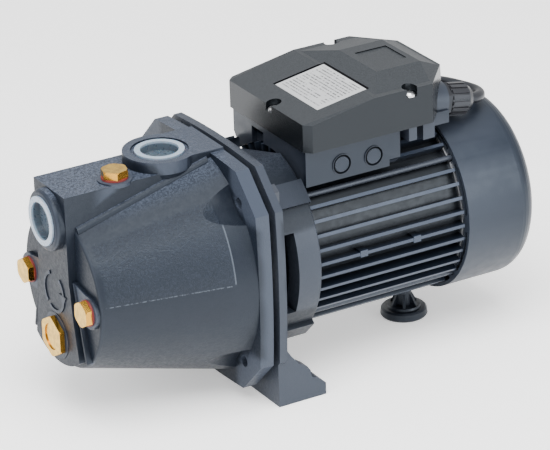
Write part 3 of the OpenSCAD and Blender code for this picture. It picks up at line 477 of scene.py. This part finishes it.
def milky(name, axis, rim, floor_level):
    """Translucent cap: pale at its rim, darker and bluer down in the cup, painted shade of the hollow and
    the dark port behind it.
    """
    p = Paint(name, (0.6, 0.68, 0.75), 0.3, Coat_Weight=0.3, Coat_Roughness=0.15)
    depth = p.spread(p.axis(axis), rim, floor_level)
    # Painted shade down in the cup
    cup_shade = p.mix(p.noise(90, 2, 0.5), (0.040, 0.056, 0.075), (0.055, 0.076, 0.098))
    p.colour(p.mix(depth, (0.21, 0.27, 0.34), cup_shade))
    p.set("Subsurface Weight", 0.15)
    p.set("Subsurface Scale", 0.002)
    p.rough(p.spread(p.noise(300, 2), 0.3, 0.7, 0.24, 0.4))
    p.bump(p.noise(500, 2), 0.00003, 0.5)
    return p.mat


PRINT_ROWS = 15.0
FOIL, INK, RECESS = (0.44, 0.45, 0.46), (0.03, 0.03, 0.035), (0.002, 0.002, 0.003)


def label(name, plate):
    """Printed foil: rows of small dark marks in a plain border, shadowed along two edges."""
    lo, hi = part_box(plate)
    p = Paint(name, (0.66, 0.67, 0.68), 0.38, 0.35)
    across = p.math("DIVIDE", p.math("SUBTRACT", p.axis("Y"), lo[1]), hi[1] - lo[1])
    along = p.math("DIVIDE", p.math("SUBTRACT", p.axis("X"), lo[0]), hi[0] - lo[0])
    row = p.window(p.math("FRACT", p.product(along, PRINT_ROWS)), (0.28, 0.34), (0.66, 0.72))
    words = p.spread(p.noise(1100, 2, 0.5, stretch=(0.25, 1, 0.25)), 0.44, 0.50)
    blocks = p.spread(p.noise(60, 1, 0.5, stretch=(2.2, 1, 1)), 0.34, 0.38)
    inner = p.product(p.window(across, (0.07, 0.09), (0.91, 0.93)),
                      p.window(along, (0.08, 0.1), (0.90, 0.92)))
    ink = p.product(row, words, blocks, inner)
    shadow = p.math("MAXIMUM", p.spread(along, 0.955, 0.965), p.spread(across, 0.965, 0.975))
    p.colour(p.mix(shadow, p.mix(p.product(ink, 0.9), FOIL, INK), RECESS))
    p.specular(shadow, 0.5, 0.02)
    p.link(p.spread(shadow, 0.0, 1.0, 0.35, 0.0), p.bsdf.inputs["Metallic"])
    p.rough(p.spread(p.noise(700, 2, 0.5, stretch=(1, 0.1, 1)), 0.3, 0.7, 0.3, 0.45))
    p.bump(p.noise(1200, 2, 0.5, stretch=(1, 0.1, 1)), 0.00001, 0.4)
    return p.mat


use(casting("cast_iron_paint", BLUE, band=True), "pump_casing")
use(casting("bracket_paint", scaled(BLUE, 0.7)), "motor_bracket")
use(finned("housing_paint", (0.0062, 0.0090, 0.0155)), "motor_housing")
use(moulded("rod_paint", (0.012, 0.015, 0.022), 0.3, 500, 0.00004), "tie_rods")
use(moulded("bolt_paint", (0.009, 0.011, 0.017), 0.32, 400, 0.00008, 0.2), "casing_bolts")
use(moulded("fan_cover_plastic", (0.0062, 0.0095, 0.0165), 0.36, 900, 0.00004), "fan_cover")
use(moulded("foot_plastic", (0.008, 0.010, 0.015), 0.36), "rear_foot")
use(box_moulding("box_plastic", (0.0038, 0.0047, 0.0058)), "terminal_box_cover")
use(knockouts(moulding("base_plastic", (0.0065, 0.0092, 0.0155), 0.34, 900)), "terminal_box_base")
use(moulded("black_plastic", (0.010, 0.010, 0.012), 0.32), "gland_body", "gland_nut", "cooling_fan",
    "ejector_nozzle", "venturi_tube", "diffuser")
use(moulded("impeller_plastic", (0.6, 0.54, 0.42), 0.45), "impeller")
use(moulded("rubber", (0.012, 0.012, 0.013), 0.6), "casing_o_ring", "terminal_box_gasket", "gland_seal",
    "water_slinger", "drain_washer")
use(moulded("lead_sheath", (0.010, 0.010, 0.012), 0.34), "mains_lead_whole", "mains_plug")
use(moulded("fibre", (0.09, 0.007, 0.004), 0.55), "filler_washer", "near_side_washer",
    "far_side_washer")
inlet_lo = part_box("inlet_cap")[0]
outlet_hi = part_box("outlet_cap")[1]
RIM_DEPTH, CUP_DEPTH = 0.0008, 0.0022
use(milky("inlet_cap_plastic", "X", inlet_lo[0] + RIM_DEPTH, inlet_lo[0] + CUP_DEPTH), "inlet_cap")
use(milky("outlet_cap_plastic", "Z", outlet_hi[2] - RIM_DEPTH, outlet_hi[2] - CUP_DEPTH), "outlet_cap")
use(moulded("ceramic_white", (0.8, 0.78, 0.72), 0.2), "seal_seat")
use(moulded("block_plastic", (0.6, 0.6, 0.58), 0.5), "terminal_block")
use(moulded("capacitor_can", (0.55, 0.56, 0.58), 0.35), "run_capacitor")
use(turned_brass("brass"), "filler_plug", "drain_plug", "near_side_plug", "far_side_plug")
use(metal("zinc_steel", (0.60, 0.61, 0.62), 0.3), "tie_rod_nuts", "fan_cover_screws", "rear_foot_screw",
    "terminal_box_screws", "capacitor_clamp")
use(metal("stainless", (0.62, 0.62, 0.63), 0.3), "seal_plate", "wave_washer", "motor_shaft", "impeller_nut",
    "seal_head", "seal_spring", "fan_clip")
use(metal("bearing_steel", (0.66, 0.67, 0.68), 0.18), "front_bearing_outer", "rear_bearing_outer",
    "front_bearing_inner", "rear_bearing_inner")
use(metal("electrical_steel", (0.28, 0.28, 0.3), 0.4, 2500, (1, 0.05, 0.05)), "stator_core", "rotor_core")
use(metal("copper_winding", (0.55, 0.22, 0.08), 0.35), "stator_windings")
use(metal("bare_aluminium", (0.55, 0.56, 0.58), 0.4), "rear_end_shield")
use(label("label_foil", "nameplate"), "nameplate")


# ---------------------------------------------------------------- rounded edges
def soften(width, *names):
    """Break the sharp edges, as casting, moulding and tumbling do."""
    for name in names:
        m = NODES[name].modifiers.new("edges", "BEVEL")
        m.width, m.segments = width * MM, 2
        m.limit_method, m.angle_limit = "ANGLE", math.radians(35)
        m.use_clamp_overlap = True
        m.harden_normals = True


soften(1.2, "pump_casing", "motor_bracket")
soften(0.5, "terminal_box_cover", "terminal_box_base", "fan_cover")
soften(0.3, "filler_plug", "drain_plug", "near_side_plug", "far_side_plug", "casing_bolts", "gland_nut",
       "mains_plug", "inlet_cap", "outlet_cap", "rear_foot", "rear_end_shield")


# ---------------------------------------------------------------- floor and light
FLOOR_HALF = 6


def make_floor():
    """Pale floor, which gives off a little light to soften the shadow."""
    me = bpy.data.meshes.new("floor")
    corners = [(x * FLOOR_HALF, y * FLOOR_HALF, 0) for x, y in ((-1, -1), (1, -1), (1, 1), (-1, 1))]
    me.from_pydata(corners, [], [(0, 1, 2, 3)])
    floor = bpy.data.objects.new("floor", me)
    bpy.context.scene.collection.objects.link(floor)
    p = Paint("floor", (0.93, 0.93, 0.93), 0.7)
    p.colour(p.mix(p.noise(3, 2), (0.92, 0.92, 0.92), (0.94, 0.94, 0.94)))
    p.set("Emission Color", (1.0, 1.0, 1.0, 1.0))
    p.set("Emission Strength", 0.5)
    me.materials.append(p.mat)


def area(name, location, target, size, power):
    data = bpy.data.lights.new(name, "AREA")
    data.shape, data.size, data.size_y = "RECTANGLE", size[0], size[1]
    data.energy = power
    lamp = bpy.data.objects.new(name, data)
    lamp.location = location
    lamp.rotation_euler = (Vector(target) - Vector(location)).to_track_quat("-Z", "Y").to_euler()
    bpy.context.scene.collection.objects.link(lamp)


make_floor()
area("key", (-0.3, -0.5, 1.6), (0, 0, 0.1), (1.4, 1.4), 60)
area("left", (-1.7, -0.3, 0.7), (0, 0, 0.12), (0.9, 1.2), 13)
area("right", (0.9, -1.5, 0.7), (0.05, 0, 0.1), (0.8, 1.2), 16)
world = bpy.data.worlds.new("world")
world.use_nodes = True
background = next(n for n in world.node_tree.nodes if n.type == "BACKGROUND")
background.inputs["Color"].default_value = (1.0, 1.0, 1.0, 1.0)
background.inputs["Strength"].default_value = 1.25
bpy.context.scene.world = world
